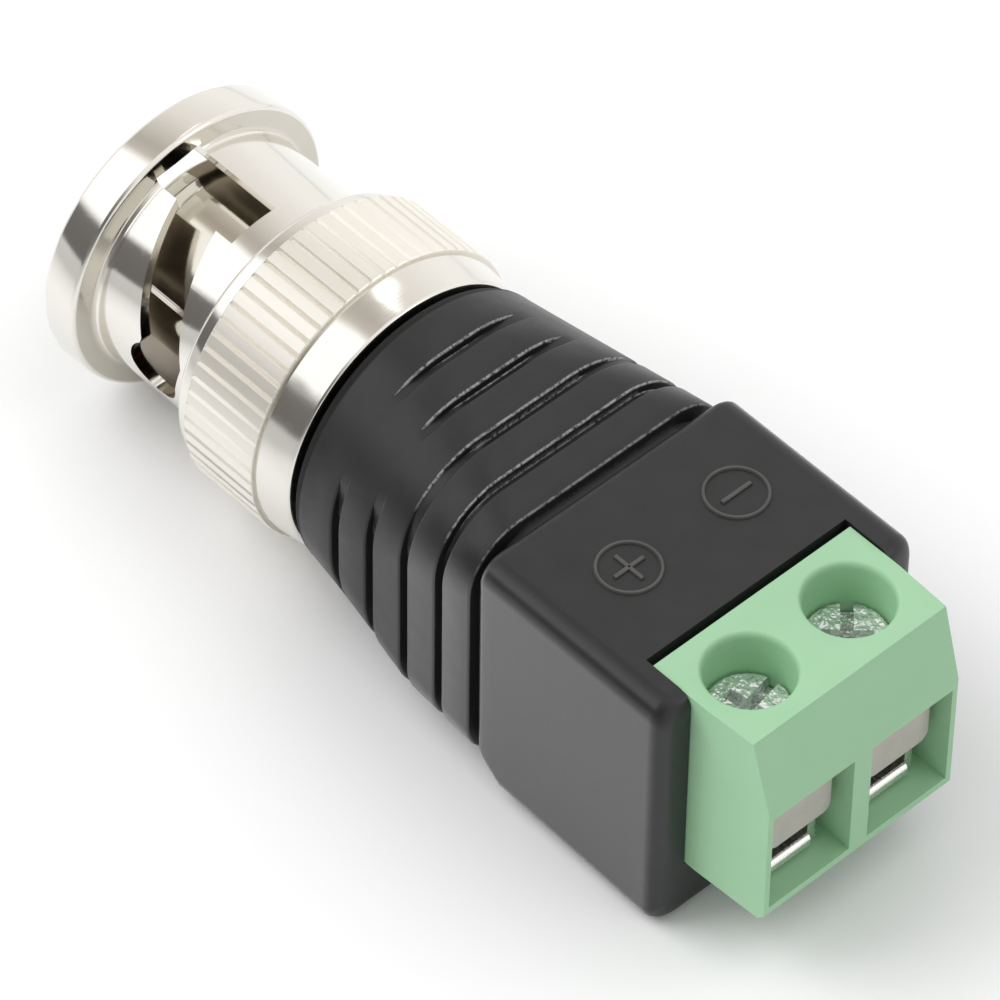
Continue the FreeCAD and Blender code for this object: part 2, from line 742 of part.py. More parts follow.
parts = {
    "coupling_nut": coupling_nut(),
    "nut_ring": nut_ring(),
    "thrust_washer": thrust_washer(),
    "wave_washer": wave_washer(),
    "plug_body": plug_body(),
    "outer_contact": outer_contact(),
    "gasket": gasket(),
    "insulator": insulator(),
    "centre_pin": centre_pin(),
    "moulded_body": moulded_body(),
    "terminal_housing": terminal_housing(),
    "positive_strip": contact_strip(pitch / 2),
    "negative_strip": contact_strip(-pitch / 2),
    "positive_cage": clamp_cage(pitch / 2),
    "negative_cage": clamp_cage(-pitch / 2),
    "positive_screw": clamp_screw(pitch / 2, positive_turn),
    "negative_screw": clamp_screw(-pitch / 2, negative_turn),
    "centre_lead": centre_lead(),
    "lead_sleeve": lead_sleeve(),
    "ground_lead": ground_lead(),
}

for name, shape in parts.items():
    shape.exportStep(os.path.join("parts", name + ".step"))
    box = shape.BoundBox
    print(name, shape.isValid(), len(shape.Solids), round(shape.Volume, 2),
          [round(v, 2) for v in (box.XMin, box.XMax, box.YMin, box.YMax, box.ZMin, box.ZMax)])
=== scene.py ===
# %% [markdown]
# # A coaxial plug with a screw terminal block
# The part is small, 39 mm long, and has three finishes that have to read at once: bright nickel on the
# plug, satin black on the moulded body and pale green on the terminal block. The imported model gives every
# solid its place. This lesson builds the pieces that show, dresses them, and lights them as on a white table.

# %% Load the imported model
import math

import bmesh
import bpy
from mathutils import Matrix, Vector


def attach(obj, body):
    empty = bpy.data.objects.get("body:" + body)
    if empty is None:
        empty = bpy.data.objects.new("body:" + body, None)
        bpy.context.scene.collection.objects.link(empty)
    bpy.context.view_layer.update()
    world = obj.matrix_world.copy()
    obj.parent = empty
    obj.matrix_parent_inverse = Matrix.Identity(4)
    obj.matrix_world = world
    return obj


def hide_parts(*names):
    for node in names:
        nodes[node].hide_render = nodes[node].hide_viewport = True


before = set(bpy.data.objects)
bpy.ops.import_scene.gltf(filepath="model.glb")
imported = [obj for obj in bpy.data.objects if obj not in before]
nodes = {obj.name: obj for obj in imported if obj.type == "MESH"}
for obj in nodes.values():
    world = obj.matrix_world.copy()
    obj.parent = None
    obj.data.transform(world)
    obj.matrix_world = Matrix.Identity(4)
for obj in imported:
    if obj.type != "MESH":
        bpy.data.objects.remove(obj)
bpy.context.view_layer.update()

# %% [markdown]
# ## Working in millimetres
# The model is in metres, and numbers such as 0.00137 are hard to read. So each piece is built in
# millimetres, and its finished mesh is scaled once, when it is handed over to the body that it rides on.

# %% Small helpers for every piece
MM = 0.001


def new_object(name, bm):
    """An object in millimetres from a bmesh, with its faces turned outwards."""
    bmesh.ops.recalc_face_normals(bm, faces=bm.faces)
    mesh = bpy.data.meshes.new(name)
    bm.to_mesh(mesh)
    bm.free()
    made = bpy.data.objects.new(name, mesh)
    bpy.context.scene.collection.objects.link(made)
    return made


def settle(obj):
    """Gives the object the mesh that its modifiers make."""
    bpy.context.view_layer.update()
    seen = obj.evaluated_get(bpy.context.evaluated_depsgraph_get())
    obj.data = bpy.data.meshes.new_from_object(seen)
    obj.modifiers.clear()


def carve(obj, cutters, operation="DIFFERENCE"):
    """Cuts the object with each cutter, or joins it to each, and deletes the cutters."""
    for cutter in cutters:
        tool = obj.modifiers.new("carve", "BOOLEAN")
        tool.operation = operation
        tool.solver = "EXACT"
        tool.object = cutter
    settle(obj)
    for cutter in cutters:
        bpy.data.objects.remove(cutter)


def soften(obj, width, segments=3, angle=35):
    """Rounds each edge that is sharper than the angle."""
    rounding = obj.modifiers.new("soften", "BEVEL")
    rounding.width = width
    rounding.segments = segments
    rounding.limit_method = "ANGLE"
    rounding.angle_limit = math.radians(angle)
    rounding.harden_normals = True
    for polygon in obj.data.polygons:
        polygon.use_smooth = True
    settle(obj)


def hand_over(obj, material, body, slot, *replaced, sharp=35):
    """Scales a finished piece to metres, gives it its finish and puts it on its body."""
    obj.data.transform(Matrix.Scale(MM, 4))
    for polygon in obj.data.polygons:
        polygon.use_smooth = True
    if sharp:
        obj.data.set_sharp_from_angle(angle=math.radians(sharp))
    obj.data.materials.clear()
    obj.data.materials.append(material)
    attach(obj, body)
    if replaced:
        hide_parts(*replaced)
    print(obj.name, len(obj.data.polygons), "faces, rides on", body)
    return obj


# %% [markdown]
# ## The camera
# The photograph was taken with a long lens, from the terminal's end, above and to the left. Its place came
# from a fit of about thirty edges of the object, so the render has the same outline as the photograph.

# %% Camera
camera = bpy.data.objects.new("camera", bpy.data.cameras.new("camera"))
bpy.context.scene.collection.objects.link(camera)
camera.data.sensor_width = 36
camera.data.lens = 270
camera.data.clip_start = 0.01
camera.location = Vector((-157.836, 130.690, 214.217)) * MM
looks_at = Vector((-19.528, 0.252, 0)) * MM
roll = Matrix.Rotation(math.radians(0.819), 3, "Z")
aim = (looks_at - camera.location).to_track_quat("-Z", "Y").to_matrix()
camera.rotation_euler = (aim @ roll).to_euler()
bpy.context.scene.camera = camera
print("camera", round((looks_at - camera.location).length, 3), "m from the middle")

# %% [markdown]
# ## The white table
# The part lies on its knurled nut and on the back edge of its block, so the table below it leans by less
# than half a degree. The table is white to the camera and in reflections, and still takes the part's shadow:
# a plain white diffuse surface does most of the work, and a weak glow, which only those rays see, lifts it.
# Under the part the glow fades, a painted shade that the Ambient Occlusion node draws, and the table's far
# side on the left is painted a darker grey that only reflections see, a painted shade.

# %% Shader helper
class Value:
    """One output of a node. Sums and products of values add the Math nodes that they need."""

    def __init__(self, tree, socket):
        self.tree = tree
        self.socket = socket

    def node(self, kind, inputs, settings=None, output=0):
        """Any node: its settings first, then a value or a link for each named or numbered input."""
        made = self.tree.nodes.new(kind)
        for name, value in (settings or {}).items():
            if name == "stops":
                ramp = made.color_ramp
                while len(ramp.elements) < len(value):
                    ramp.elements.new(0.5)
                for stop, (place, colour) in zip(ramp.elements, value):
                    stop.position = place
                    stop.color = colour if len(colour) == 4 else (*colour, 1)
            else:
                setattr(made, name, value)
        for name, value in inputs.items():
            if isinstance(value, Value):
                self.tree.links.new(value.socket, made.inputs[name])
            else:
                made.inputs[name].default_value = value
        return Value(self.tree, made.outputs[output])

    def maths(self, operation, first, second=0.0):
        return self.node("ShaderNodeMath", {0: first, 1: second}, {"operation": operation})

    def __add__(self, other):
        return self.maths("ADD", self, other)

    def __radd__(self, other):
        return self.maths("ADD", other, self)

    def __sub__(self, other):
        return self.maths("SUBTRACT", self, other)

    def __rsub__(self, other):
        return self.maths("SUBTRACT", other, self)

    def __mul__(self, other):
        return self.maths("MULTIPLY", self, other)

    def __rmul__(self, other):
        return self.maths("MULTIPLY", other, self)

    def __gt__(self, other):
        return self.maths("GREATER_THAN", self, other)

    def __lt__(self, other):
        return self.maths("LESS_THAN", self, other)

    def clamp(self, low=0.0, high=1.0):
        return self.maths("MINIMUM", self.maths("MAXIMUM", self, low), high)

    def noise(self, scale, detail=3.0, roughness=0.5, stretch=(1, 1, 1)):
        """Noise from 0 to 1, with a scale in features for each millimetre."""
        spread = self.node("ShaderNodeVectorMath", {0: self, 1: stretch}, {"operation": "MULTIPLY"})
        return self.node("ShaderNodeTexNoise", {"Vector": spread, "Scale": scale, "Detail": detail,
                                                "Roughness": roughness})

    def mixed(self, first, second):
        """One colour where this value is 0 and the other where it is 1."""
        colours = [(*c, 1) if isinstance(c, tuple) and len(c) == 3 else c for c in (first, second)]
        return self.node("ShaderNodeMix", {0: self, 6: colours[0], 7: colours[1]},
                         {"data_type": "RGBA"}, output=2)


def start_finish(name, **numbers):
    """A new material: its shader with the plain numbers set, and the place on the piece in millimetres."""
    material = bpy.data.materials.new(name)
    material.use_nodes = True
    tree = material.node_tree
    shader = tree.nodes["Principled BSDF"]
    for socket, number in numbers.items():
        shader.inputs[socket.replace("_", " ")].default_value = number
    place = Value(tree, tree.nodes.new("ShaderNodeTexCoord").outputs["Object"])
    place = place.node("ShaderNodeVectorMath", {0: place, "Scale": 1000.0}, {"operation": "SCALE"})
    return material, shader, place


def feed(shader, **values):
    """Links each value to the shader's socket of that name."""
    for socket, value in values.items():
        value.tree.links.new(value.socket, shader.inputs[socket.replace("_", " ")])


def rough_up(height, strength, distance):
    """A normal that follows a height; the distance is in millimetres."""
    return height.node("ShaderNodeBump", {"Height": height, "Strength": strength, "Distance": distance * MM})


print("shader helper ready")

# %% Floor
def table_finish():
    material = bpy.data.materials.new("white table")
    material.use_nodes = True
    tree = material.node_tree
    tree.nodes.clear()
    rays = tree.nodes.new("ShaderNodeLightPath")
    seen = Value(tree, rays.outputs["Is Camera Ray"]) + Value(tree, rays.outputs["Is Glossy Ray"])
    seen = (seen + Value(tree, rays.outputs["Is Transmission Ray"])).clamp()
    open_sky = seen.node("ShaderNodeAmbientOcclusion", {"Distance": 20 * MM}, {"samples": 8}, output=1)
    place = Value(tree, tree.nodes.new("ShaderNodeTexCoord").outputs["Object"])
    left = place.node("ShaderNodeSeparateXYZ", {0: place}, output=1) * (1 / MM)
    glossy = Value(tree, rays.outputs["Is Glossy Ray"])
    # Painted shade: the table's far left side is painted darker, and only reflections see it.
    painted_far_shade = ((left - 16) * 0.022).clamp(0, 0.55) * glossy
    paint = seen.node("ShaderNodeBsdfDiffuse", {"Color": painted_far_shade.mixed((0.88, 0.88, 0.88), (0.20, 0.20, 0.18))})
    # Painted shade: the glow fades under the part, by ambient occlusion.
    strength = seen * 0.24 * open_sky * open_sky * (1 - painted_far_shade)
    glow = seen.node("ShaderNodeEmission", {"Color": (1, 1, 1, 1), "Strength": strength})
    both = seen.node("ShaderNodeAddShader", {0: paint, 1: glow})
    tree.links.new(both.socket, tree.nodes.new("ShaderNodeOutputMaterial").inputs["Surface"])
    return material


knurl_touch = Vector((-12.1, 0, -6.70))
block_touch = Vector((-34.4, 0, -6.84))
lean = math.atan2(block_touch.z - knurl_touch.z, knurl_touch.x - block_touch.x)
bm = bmesh.new()
bmesh.ops.create_grid(bm, x_segments=8, y_segments=8, size=900)
bmesh.ops.rotate(bm, verts=bm.verts, cent=(0, 0, 0), matrix=Matrix.Rotation(lean, 3, "Y"))
bmesh.ops.translate(bm, verts=bm.verts, vec=knurl_touch)
floor = new_object("floor", bm)
floor.data.transform(Matrix.Scale(MM, 4))
floor.data.materials.append(table_finish())
print("table leans", round(math.degrees(lean), 2), "degrees")

# %% [markdown]
# ## Light
# Metal shows what stands round it. In the photograph the nickel shows, from the table up and over, a dark
# gap, a white softbox, and a cream wall that grows paler as it comes down on the other side. All of that is
# one strip of card bent round the plug's axis, whose shade changes with the angle, and only reflections see
# it. A second strip on the camera's side is dark low down, as a room behind a camera is, and bright overhead.
# A small bright window shines along the lips of the black grooves, and another one makes the oval light on
# the plug's back band. The lamps light the part and don't show in it.

# %% Lamps
middle = Vector((-19.5, 0, 0)) * MM


def softbox(name, towards, distance, size, watts):
    """A square area lamp that faces the middle of the part from a direction."""
    lamp = bpy.data.lights.new(name, "AREA")
    lamp.shape = "SQUARE"
    lamp.size = size
    lamp.energy = watts
    made = bpy.data.objects.new(name, lamp)
    bpy.context.scene.collection.objects.link(made)
    made.location = middle + Vector(towards).normalized() * distance
    made.rotation_euler = (middle - made.location).to_track_quat("-Z", "Y").to_euler()
    made.visible_glossy = False
    return made


softbox("softbox", (0.483, 0.438, 0.758), 0.42, 0.30, 0.95)
softbox("top fill", (-0.35, -0.25, 0.90), 0.50, 0.30, 0.35)
print("lamps set")

# %% Cards
def shine(card, colour):
    """Gives a card a glow of one colour, or of a colour value, and hides it from all but reflections."""
    for rays in ("camera", "diffuse", "transmission", "volume_scatter", "shadow"):
        setattr(card, "visible_" + rays, False)
    material = card.data.materials[0]
    tree = material.node_tree
    output = tree.nodes.new("ShaderNodeOutputMaterial")
    place = Value(tree, tree.nodes.new("ShaderNodeTexCoord").outputs["Object"])
    colour = colour(place) if callable(colour) else colour
    glow = place.node("ShaderNodeEmission", {"Color": colour})
    tree.links.new(glow.socket, output.inputs["Surface"])


def new_card(name, bm):
    """An object at the middle of the part, with an empty material that shine fills."""
    made = new_object(name, bm)
    material = bpy.data.materials.new(name)
    material.use_nodes = True
    material.node_tree.nodes.clear()
    made.data.materials.append(material)
    made.location = middle
    return made


def window(name, towards, distance, width, height, level):
    """A flat card that faces the middle of the part from a direction."""
    bm = bmesh.new()
    bmesh.ops.create_grid(bm, x_segments=1, y_segments=1, size=0.5)
    bmesh.ops.scale(bm, vec=(width, height, 1), verts=bm.verts)
    made = new_card(name, bm)
    made.location = middle + Vector(towards).normalized() * distance
    made.rotation_euler = (middle - made.location).to_track_quat("-Z", "Y").to_euler()
    shine(made, (level, level, level, 1))


BEND_R = 0.42


def bent_card(name, x_pair, shades):
    """A strip bent half round the plug's axis. A shade is (degrees from the left, level, share of blue)."""
    bm = bmesh.new()
    ends = [bm.verts.new((x, BEND_R, 0)) for x in x_pair]
    bmesh.ops.spin(bm, geom=[bm.edges.new(ends)] + ends, cent=(0, 0, 0), axis=(1, 0, 0), dvec=(0, 0, 0),
                   angle=math.pi, steps=60)

    def colour(place):
        across = place.node("ShaderNodeSeparateXYZ", {0: place}, output=1)
        height = place.node("ShaderNodeSeparateXYZ", {0: place}, output=2)
        half_turn = height.maths("ARCTAN2", height, across) * (1 / math.pi)
        stops = [(angle / 180, (level, level * (1 + blue) / 2, level * blue))
                 for angle, level, blue in shades]
        return half_turn.node("ShaderNodeValToRGB", {"Fac": half_turn}, {"stops": stops})

    shine(new_card(name, bm), colour)


bent_card("front card", (0.02, 0.50),
          [(0, 0.16, 0.92), (27, 0.19, 0.92), (31, 1.05, 1.0), (34, 1.35, 1.0), (78, 1.35, 1.0),
           (84, 0.64, 0.85), (93, 0.54, 0.85), (108, 0.74, 0.88), (125, 0.92, 0.93), (160, 1.08, 0.97)])
bent_card("camera side card", (-0.60, 0.02),
          [(0, 0.30, 0.92), (30, 0.16, 0.92), (50, 0.30, 0.92), (70, 1.0, 0.95), (150, 1.1, 0.97)])
window("lip window", (-0.75, -0.45, 0.48), 0.45, 0.13, 0.13, 2.6)
window("band window", (0.29, -0.40, 0.87), 0.36, 0.05, 0.13, 1.7)
print("cards set")

# %% World
world = bpy.data.worlds.new("white tent")
bpy.context.scene.world = world
world.use_nodes = True
tree = world.node_tree
rays = tree.nodes.new("ShaderNodeLightPath")
direct = Value(tree, rays.outputs["Is Camera Ray"]) + Value(tree, rays.outputs["Is Glossy Ray"])
direct = (direct + Value(tree, rays.outputs["Is Transmission Ray"])).clamp()
tree.links.new((direct * 0.45 + 0.55).socket, tree.nodes["Background"].inputs["Strength"])
tree.nodes["Background"].inputs["Color"].default_value = (1, 1, 1, 1)
bpy.context.scene.view_settings.view_transform = "Standard"
print("world set")

# %% [markdown]
# ## Nickel
# The plug is turned brass with a thin bright nickel plate, a little warm. The lathe leaves fine rings round
# the axis, and the plate has faint clouds. Both change the roughness more than the colour. The knurl is
# pressed into the metal, which leaves its teeth satin, and the band behind it is slightly dented. Inside,
# the nut's bore is thinly plated and dull, and its colour is darkened as a painted shade; the contact tube
# and the flange's back are painted greyer than the rest, a painted shade too. Where each of these begins is
# read from the place on the piece: its distance from the axis and along it.

# %% Nickel finish
FLANGE_BACK, NECK_R = -1.75, 5.40
KNURL_FRONT, KNURL_BACK = -8.50, -12.45
BORE_R = 4.90
CONTACT_R, CONTACT_BORE = 4.05, 3.52
MARGIN = 0.05


def nickel_finish():
    material, shader, place = start_finish("nickel plate", Metallic=1.0)
    along = place.node("ShaderNodeSeparateXYZ", {0: place})
    flat = place.node("ShaderNodeVectorMath", {0: place, 1: (0, 1, 1)}, {"operation": "MULTIPLY"})
    radius = flat.node("ShaderNodeVectorMath", {0: flat}, {"operation": "LENGTH"}, output=1)
    knurl = (along < KNURL_FRONT) * (along > KNURL_BACK) * (radius > 6.45)
    contact = radius < CONTACT_R + MARGIN
    bore = (radius < BORE_R + MARGIN) * (1 - contact) + (radius < CONTACT_BORE + MARGIN)
    flange = (along < FLANGE_BACK - 0.01) * (along > FLANGE_BACK - 0.20) * (radius > NECK_R + 0.06)
    band = along < KNURL_BACK - 0.12
    dents = place.noise(0.50, detail=1)
    clouds = place.noise(0.35, detail=4)
    rings = place.noise(9.0, detail=2, stretch=(1, 0.02, 0.02))
    specks = place.noise(3.0, detail=5, roughness=0.7)
    plate = clouds.mixed((0.785, 0.765, 0.715), (0.835, 0.815, 0.765))
    satin = clouds.mixed((0.90, 0.87, 0.80), (0.94, 0.91, 0.845))
    # Painted shade: the bore's colour is darkened where it lies deep inside the nut.
    dull = clouds.mixed((0.24, 0.205, 0.155), (0.34, 0.295, 0.235))
    # Painted shade: the contact tube and the flange's back are painted greyer than the plate.
    painted_grey_shade = clouds.mixed((0.62, 0.585, 0.51), (0.70, 0.67, 0.60))
    smooth = 0.08 + clouds * 0.05 + (specks > 0.62) * 0.05 + band * dents * 0.08
    feed(shader,
         Base_Color=bore.mixed((contact + flange).mixed(knurl.mixed(plate, satin), painted_grey_shade), dull),
         Roughness=smooth + knurl * 0.36 + bore * 0.26,
         Normal=rough_up(rings * 0.6 + specks * (0.5 + knurl * 1.2) + dents * band * 22, 0.12, 0.02))
    return material


nickel = nickel_finish()
print(nickel.name)

# %% [markdown]
# ## Black moulding
# The body is a satin black plastic. Its mould was lightly eroded on top, so the skin has a very fine grain,
# and was left polished down the block's sides, which shine more. The thick nose has shallow sink marks that
# make its reflections wander. The lip of each groove that faces back is painted a speckled grey on the top,
# a painted highlight that the mask reads from the surface's own direction. The collar's front lip lies in the
# nut's shade, painted deep black as a painted shade, and is matt. The raised marks get this finish painted
# paler, a painted highlight.

# %% Black finish
BLOCK_FRONT = -24.95
# Painted light: a grey painted highlight for the groove lips, and a black painted shade for the collar's
# front lip.
LIP_HIGHLIGHT_GREY, NUT_SHADE_BLACK = (0.40, 0.40, 0.39), (0.003, 0.003, 0.003)


def black_finish(name, dark, pale):
    material, shader, place = start_finish(name, Metallic=0.0, IOR=1.42, Coat_Roughness=0.24)
    grain = place.noise(7.0, detail=3, roughness=0.6)
    sink = place.noise(0.30, detail=2, roughness=0.6)
    handling = place.noise(0.9, detail=4, roughness=0.65)
    lip_speckle = place.noise(5.0, detail=3, roughness=0.7)
    along = place.node("ShaderNodeSeparateXYZ", {0: place})
    across = place.node("ShaderNodeSeparateXYZ", {0: place}, output=1)
    side = ((across.maths("ABSOLUTE", across) - 6.0) * 2.4).clamp()
    polished = side * ((-19.0 - along) * 0.25).clamp() * ((along + 34.6) * 2.5).clamp()
    nose = ((along - BLOCK_FRONT) * 1.2).clamp()
    height = place.node("ShaderNodeSeparateXYZ", {0: place}, output=2)
    normal = place.node("ShaderNodeTexCoord", {}, output=1)
    facing_back = 0 - normal.node("ShaderNodeSeparateXYZ", {0: normal})
    # Painted highlight: the back-facing lips of the grooves on the nose's top are painted a speckled grey.
    lip = ((facing_back - 0.25) * 3).clamp() * ((0.985 - facing_back) * 12).clamp() * (along < -16.0)
    lip = lip * nose * ((height - 4.3) * 1.5).clamp() * (0.30 + (lip_speckle - 0.42) * 5).clamp()
    # Painted shade: the collar's front lip, in the nut's shade, is painted deep black.
    mouth = ((along + 15.0) * 8).clamp()
    feed(shader,
         Base_Color=mouth.mixed(lip.mixed(handling.mixed(dark, pale), LIP_HIGHLIGHT_GREY), NUT_SHADE_BLACK),
         Roughness=0.32 + grain * 0.10 + handling * 0.10 - polished * 0.06 + mouth * 0.3,
         Coat_Weight=(0.06 + handling * 0.12 + polished * 0.85) * (1 - mouth),
         Normal=rough_up(grain * 0.06 + sink * (0.25 + nose * 1.4), 0.35, 0.16))
    return material


black = black_finish("black moulding", (0.012, 0.012, 0.0125), (0.020, 0.020, 0.021))
# Painted highlight: the raised marks get the black finish painted paler.
highlit = black_finish("rubbed black", (0.050, 0.049, 0.046), (0.105, 0.102, 0.095))
print(black.name, highlit.name)

# %% [markdown]
# ## Green moulding
# The terminal block is a pale green plastic with a dull skin. Each tool face left its own very slight
# clouding, so the colour drifts a little and the grain is finer than on the black body.

# %% Green finish
def green_finish():
    material, shader, place = start_finish("green moulding", Metallic=0.0, IOR=1.4)
    clouds = place.noise(0.5, detail=3)
    grain = place.noise(9.0, detail=2)
    feed(shader,
         Base_Color=clouds.mixed((0.360, 0.635, 0.385), (0.400, 0.670, 0.420)),
         Roughness=0.46 + grain * 0.10,
         Normal=rough_up(grain, 0.12, 0.02))
    return material


green = green_finish()
print(green.name)

# %% [markdown]
# ## Small metals and plastics
# The screws are bright zinc, whose crystals sparkle through a skin that is a little milky, so part of them
# isn't metal to the shader. The strips are dull tin, rolled along their length.
# The cages are a plain bright steel. Inside the mouth are a gilt pin, a waxy white core and a red gasket.

# %% Zinc, tin and steel finishes
def zinc_finish():
    material, shader, place = start_finish("bright zinc", Metallic=0.6)
    crystals = place.noise(2.6, detail=2, roughness=0.5)
    clouds = place.noise(1.1, detail=3)
    sparks = ((crystals - 0.56) * 8).clamp()
    feed(shader,
         Base_Color=sparks.mixed(clouds.mixed((0.76, 0.80, 0.79), (0.92, 0.94, 0.92)), (0.99, 0.99, 0.98)),
         Roughness=0.10 + clouds * 0.12,
         Normal=rough_up(crystals, 1.0, 0.30))
    return material


def tin_finish():
    material, shader, place = start_finish("dull tin", Metallic=1.0)
    rolled = place.noise(5.0, detail=3, stretch=(1, 0.15, 1))
    clouds = place.noise(1.3, detail=4)
    feed(shader,
         Base_Color=clouds.mixed((0.41, 0.395, 0.355), (0.52, 0.505, 0.455)),
         Roughness=0.38 + rolled * 0.16,
         Normal=rough_up(rolled, 0.15, 0.02))
    return material


def steel_finish():
    material, shader, place = start_finish("bright steel", Metallic=1.0)
    rolled = place.noise(6.0, detail=3, stretch=(0.15, 1, 1))
    feed(shader,
         Base_Color=rolled.mixed((0.80, 0.79, 0.76), (0.92, 0.91, 0.88)),
         Roughness=0.20 + rolled * 0.14,
         Normal=rough_up(rolled, 0.15, 0.015))
    return material


zinc = zinc_finish()
tin = tin_finish()
steel = steel_finish()
print(zinc.name, tin.name, steel.name)

# %% Gold, white, rubber and wire finishes
def plain_metal(name, pale, deep, roughness):
    """A metal of two close shades, with faint clouds in its shine."""
    material, shader, place = start_finish(name, Metallic=1.0)
    clouds = place.noise(1.6, detail=4)
    feed(shader, Base_Color=clouds.mixed(deep, pale), Roughness=roughness + clouds * 0.08,
         Normal=rough_up(place.noise(8.0, detail=2), 0.1, 0.01))
    return material


def plain_plastic(name, pale, deep, roughness, grain):
    """A plastic or rubber of two close shades, with a grain in features for each millimetre."""
    material, shader, place = start_finish(name, Metallic=0.0, IOR=1.48)
    clouds = place.noise(0.8, detail=3)
    fine = place.noise(grain, detail=3)
    feed(shader, Base_Color=clouds.mixed(deep, pale), Roughness=roughness + fine * 0.12,
         Normal=rough_up(fine, 0.15, 0.02))
    return material


gold = plain_metal("gilt brass", (0.88, 0.68, 0.31), (0.78, 0.56, 0.22), 0.14)
wire = plain_metal("tinned wire", (0.76, 0.50, 0.34), (0.62, 0.35, 0.20), 0.25)
white = plain_plastic("waxy white", (0.86, 0.85, 0.80), (0.80, 0.78, 0.72), 0.32, 4.0)
rubber = plain_plastic("red rubber", (0.42, 0.06, 0.045), (0.30, 0.035, 0.03), 0.48, 9.0)
sleeving = plain_plastic("red sleeving", (0.62, 0.05, 0.04), (0.50, 0.035, 0.03), 0.40, 5.0)
print(gold.name, wire.name, white.name, rubber.name, sleeving.name)

# %% [markdown]
# ## Turned pieces
# The nut, the contact, the core and the pin are all turned on a lathe. Each one starts as a flat face, the
# shape of half its section. Its corners are rounded by a vertex bevel while it is still flat, which is
# easier than rounding the turned solid, and its outline is then spun a full turn about the plug's axis.

# %% Turning helper
def turned(profile, steps, rounded=()):
    """A bmesh turned about X from (x, radius) corners in order; rounded lists (radius, corner numbers)."""
    bm = bmesh.new()
    corners = [bm.verts.new((x, 0, radius)) for x, radius in profile]
    face = bm.faces.new(corners)
    for radius, numbers in rounded:
        bmesh.ops.bevel(bm, geom=[corners[n] for n in numbers], affect="VERTICES", offset=radius,
                        segments=4, profile=0.5, material=-1)
    bmesh.ops.delete(bm, geom=bm.faces[:], context="FACES_ONLY")
    bmesh.ops.spin(bm, geom=bm.verts[:] + bm.edges[:], cent=(0, 0, 0), axis=(1, 0, 0), dvec=(0, 0, 0),
                   angle=2 * math.pi, steps=steps, use_merge=True)
    bmesh.ops.remove_doubles(bm, verts=bm.verts, dist=0.0005)
    return bm


def box_tool(x_pair, y_pair, z_pair, turn=0.0):
    """A box between two corners, turned about the plug's axis by an angle in degrees."""
    bm = bmesh.new()
    bmesh.ops.create_cube(bm, size=1)
    size = [pair[1] - pair[0] for pair in (x_pair, y_pair, z_pair)]
    centre = [(pair[0] + pair[1]) / 2 for pair in (x_pair, y_pair, z_pair)]
    bmesh.ops.scale(bm, vec=size, verts=bm.verts)
    bmesh.ops.translate(bm, vec=centre, verts=bm.verts)
    bmesh.ops.rotate(bm, verts=bm.verts, cent=(0, 0, 0), matrix=Matrix.Rotation(math.radians(turn), 3, "X"))
    return new_object("box tool", bm)


def round_tool(radius, from_point, to_point, segments=64):
    """A cylinder between two points."""
    start, end = Vector(from_point), Vector(to_point)
    axis = end - start
    bm = bmesh.new()
    bmesh.ops.create_cone(bm, cap_ends=True, segments=segments, radius1=radius, radius2=radius,
                          depth=axis.length)
    turn = Vector((0, 0, 1)).rotation_difference(axis).to_matrix()
    bmesh.ops.rotate(bm, verts=bm.verts, cent=(0, 0, 0), matrix=turn)
    bmesh.ops.translate(bm, vec=(start + end) / 2, verts=bm.verts)
    return new_object("round tool", bm)


print("turning helper ready")

# %% [markdown]
# ## The coupling nut, turned
# The nut is a flange, a neck, a low shoulder, a knurled grip and a smooth tapered band, with a bore for the
# jack at the front and a wider room for the spring behind. The outline goes round the outside from the mouth
# back and returns through the inside. Six steps of the spin make one tooth of the knurl, so 62 teeth need
# 372. Four steps are the flat of a tooth, and the points between the last two are pushed in to a sharp V.

# %% Coupling nut, turned
FLANGE_R = 6.50
SHOULDER_X, SHOULDER_R = -7.85, 6.42
KNURL_R, KNURL_DEPTH = 6.70, 0.13
NUT_BACK, BACK_R = -14.20, 6.30
ROOM_X, ROOM_R = -10.40, 5.60
RING_GROOVE, RING_GROOVE_R = (-13.75, -13.25), 5.85
TEETH, STEPS_A_TOOTH = 62, 6

nut_profile = [
    (0, FLANGE_R), (FLANGE_BACK, FLANGE_R), (FLANGE_BACK - 0.10, NECK_R),
    (SHOULDER_X + 0.30, NECK_R), (SHOULDER_X, SHOULDER_R),
    (KNURL_FRONT, SHOULDER_R), (KNURL_FRONT - 0.02, KNURL_R - 0.08), (KNURL_FRONT - 0.09, KNURL_R),
    (KNURL_BACK + 0.06, KNURL_R), (KNURL_BACK + 0.01, KNURL_R - 0.05), (KNURL_BACK, 6.43),
    (KNURL_BACK - 0.06, 6.43), (KNURL_BACK - 0.10, 6.50), (NUT_BACK, BACK_R),
    (NUT_BACK, ROOM_R), (RING_GROOVE[0], ROOM_R), (RING_GROOVE[0], RING_GROOVE_R),
    (RING_GROOVE[1], RING_GROOVE_R), (RING_GROOVE[1], ROOM_R), (ROOM_X, ROOM_R),
    (ROOM_X, BORE_R), (0, BORE_R)]
bm = turned(nut_profile, STEPS_A_TOOTH * TEETH,
            rounded=[(0.20, (0, 1, 21)), (0.14, (13,)), (0.25, (2,)), (0.18, (3,)), (0.16, (4,))])
crests = [v for v in bm.verts if KNURL_BACK < v.co.x < KNURL_FRONT and v.co.yz.length > KNURL_R - 0.01]
for vert in crests:
    step = round(math.atan2(vert.co.z, vert.co.y) / (2 * math.pi) * STEPS_A_TOOTH * TEETH)
    if step % STEPS_A_TOOTH == STEPS_A_TOOTH - 1:
        vert.co.yz = vert.co.yz.normalized() * (KNURL_R - KNURL_DEPTH)
nut = new_object("nut_shell", bm)
